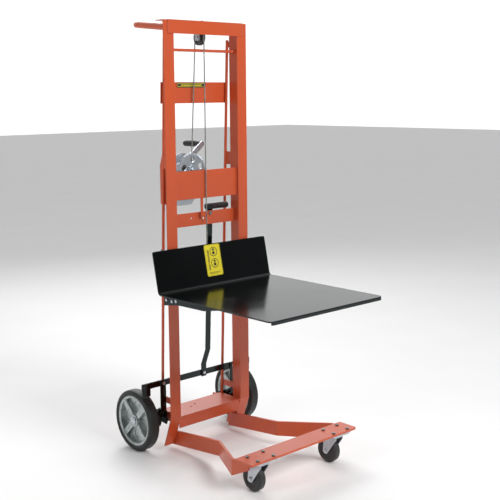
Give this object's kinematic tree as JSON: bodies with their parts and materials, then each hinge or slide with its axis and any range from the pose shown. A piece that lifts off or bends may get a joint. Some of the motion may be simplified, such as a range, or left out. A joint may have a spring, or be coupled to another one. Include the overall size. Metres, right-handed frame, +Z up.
{
  "type": "platform lift truck",
  "caption": "Hand-winch platform lift truck: angle-steel mast, cable-raised platform on rollers, splayed legs with casters, rear wheels, lever brake and push handle.",
  "frame": {"origin": "on the floor, at the centre of the truck's bounding box", "axes": "+Z up, -Y from the mast towards the platform, +X to the right of someone facing the platform"},
  "size_m": [0.6, 0.96, 1.7631],
  "materials": {
    "orange_enamel": "gloss",
    "black_enamel": "gloss",
    "zinc_steel": "satin",
    "dark_steel": "satin",
    "wire_rope": "satin",
    "black_plastic": "matte",
    "tyre_rubber": "matte",
    "caster_rubber": "matte",
    "cast_alloy": "satin"
  },
  "bodies": {
    "frame": {"mast_left": "orange_enamel", "mast_right": "orange_enamel", "top_crossbar": "orange_enamel", "weld_beads": "orange_enamel", "handle": "orange_enamel", "tie_rod": "orange_enamel", "brace_rods": "orange_enamel", "mid_plate": "orange_enamel", "lower_plate": "orange_enamel", "upper_plate": "orange_enamel", "hanger_strap": "orange_enamel", "crossmember": "orange_enamel", "leg_bars": "orange_enamel", "front_crossbar": "orange_enamel", "axle_tube": "orange_enamel", "rear_axle": "zinc_steel", "axle_brackets": "orange_enamel", "axle_caps": "zinc_steel", "sheave_bracket": "zinc_steel", "sheave_pin": "zinc_steel", "rope_rear_fall": "wire_rope", "rope_front_fall": "wire_rope", "winch_mount": "orange_enamel", "winch_frame": "zinc_steel", "reel_shaft": "zinc_steel", "pawl_pin": "zinc_steel", "caster_plates": "zinc_steel", "brake_brackets": "black_enamel", "frame_bolts": "zinc_steel"},
    "carriage": {"platform": "black_enamel", "carriage_cheeks": "black_enamel", "carriage_ties": "black_enamel", "roller_pins": "zinc_steel", "carriage_bolts": "zinc_steel"},
    "roller_low_left": {"roller_low_left": "dark_steel"},
    "roller_low_right": {"roller_low_right": "dark_steel"},
    "roller_high_left": {"roller_high_left": "dark_steel"},
    "roller_high_right": {"roller_high_right": "dark_steel"},
    "reel": {"drum": "zinc_steel", "drive_gear": "zinc_steel", "rope_coil": "wire_rope"},
    "crank": {"crank_shaft": "zinc_steel", "ratchet_wheel": "zinc_steel", "crank_arm": "zinc_steel"},
    "crank_grip": {"crank_grip": "black_plastic"},
    "pawl": {"pawl": "zinc_steel"},
    "head_sheave": {"head_sheave": "dark_steel"},
    "brake": {"brake_bar": "black_enamel", "brake_arms": "black_enamel", "brake_lever": "black_enamel", "brake_grip": "black_plastic", "brake_bolts": "zinc_steel"},
    "caster_fork_left": {"caster_fork_left": "zinc_steel"},
    "caster_fork_right": {"caster_fork_right": "zinc_steel"},
    "caster_wheel_left": {"caster_wheel_left": "caster_rubber"},
    "caster_wheel_right": {"caster_wheel_right": "caster_rubber"},
    "wheel_left": {"tyre_left": "tyre_rubber", "hub_left": "cast_alloy"},
    "wheel_right": {"tyre_right": "tyre_rubber", "hub_right": "cast_alloy"}
  },
  "joints": [
    {"name": "lift", "type": "slide", "parent": "frame", "child": "carriage", "axis": [0, 0, 1], "range_m": [-0.485, 0.7], "deforming": ["rope_front_fall"]},
    {"name": "reel_spin", "type": "hinge", "parent": "frame", "child": "reel", "pos_m": [-0.057, 0.27, 1.16], "axis": [0, 1, 0], "range_deg": [-1010, 1460]},
    {"name": "crank_spin", "type": "hinge", "parent": "frame", "child": "crank", "pos_m": [-0.118, 0.27, 1.103], "axis": [0, 1, 0], "range_deg": [-6100, 4230]},
    {"name": "crank_grip_spin", "type": "hinge", "parent": "crank", "child": "crank_grip", "pos_m": [0.075, 0.39, 1.25873], "axis": [0, 1, 0], "continuous": true},
    {"name": "pawl_swing", "type": "hinge", "parent": "frame", "child": "pawl", "pos_m": [-0.084, 0.319, 1.136], "axis": [0, 1, 0], "range_deg": [-6, 25]},
    {"name": "sheave_spin", "type": "hinge", "parent": "frame", "child": "head_sheave", "pos_m": [-0.008, 0.233, 1.693], "axis": [1, 0, 0], "range_deg": [-1450, 1010]},
    {"name": "brake_swing", "type": "hinge", "parent": "frame", "child": "brake", "pos_m": [0, 0.3, 0.152], "axis": [1, 0, 0], "range_deg": [-3, 0]},
    {"name": "roller_low_left_spin", "type": "hinge", "parent": "carriage", "child": "roller_low_left", "pos_m": [-0.193, 0.1846, 0.65], "axis": [1, 0, 0], "range_deg": [-2700, 1880]},
    {"name": "roller_high_left_spin", "type": "hinge", "parent": "carriage", "child": "roller_high_left", "pos_m": [-0.193, 0.2204, 0.83], "axis": [1, 0, 0], "range_deg": [-1880, 2700]},
    {"name": "caster_left_swivel", "type": "hinge", "parent": "frame", "child": "caster_fork_left", "pos_m": [-0.204, -0.32, 0.112], "axis": [0, 0, 1], "continuous": true},
    {"name": "caster_left_roll", "type": "hinge", "parent": "caster_fork_left", "child": "caster_wheel_left", "pos_m": [-0.204, -0.286, 0.05], "axis": [1, 0, 0], "continuous": true},
    {"name": "wheel_left_roll", "type": "hinge", "parent": "frame", "child": "wheel_left", "pos_m": [-0.275, 0.353, 0.127], "axis": [1, 0, 0], "continuous": true},
    {"name": "roller_low_right_spin", "type": "hinge", "parent": "carriage", "child": "roller_low_right", "pos_m": [0.193, 0.1846, 0.65], "axis": [1, 0, 0], "range_deg": [-2700, 1880]},
    {"name": "roller_high_right_spin", "type": "hinge", "parent": "carriage", "child": "roller_high_right", "pos_m": [0.193, 0.2204, 0.83], "axis": [1, 0, 0], "range_deg": [-1880, 2700]},
    {"name": "caster_right_swivel", "type": "hinge", "parent": "frame", "child": "caster_fork_right", "pos_m": [0.204, -0.32, 0.112], "axis": [0, 0, 1], "continuous": true},
    {"name": "caster_right_roll", "type": "hinge", "parent": "caster_fork_right", "child": "caster_wheel_right", "pos_m": [0.204, -0.286, 0.05], "axis": [1, 0, 0], "continuous": true},
    {"name": "wheel_right_roll", "type": "hinge", "parent": "frame", "child": "wheel_right", "pos_m": [0.275, 0.353, 0.127], "axis": [1, 0, 0], "continuous": true}
  ],
  "couplings": [
    {"joint": "reel_spin", "follows": "lift", "rad_per_m": 35.971},
    {"joint": "crank_spin", "follows": "lift", "rad_per_m": -149.42},
    {"joint": "sheave_spin", "follows": "lift", "rad_per_m": -35.714},
    {"joint": "roller_low_left_spin", "follows": "lift", "rad_per_m": -66.667},
    {"joint": "roller_high_left_spin", "follows": "lift", "rad_per_m": 66.667},
    {"joint": "roller_low_right_spin", "follows": "lift", "rad_per_m": -66.667},
    {"joint": "roller_high_right_spin", "follows": "lift", "rad_per_m": 66.667}
  ]
}
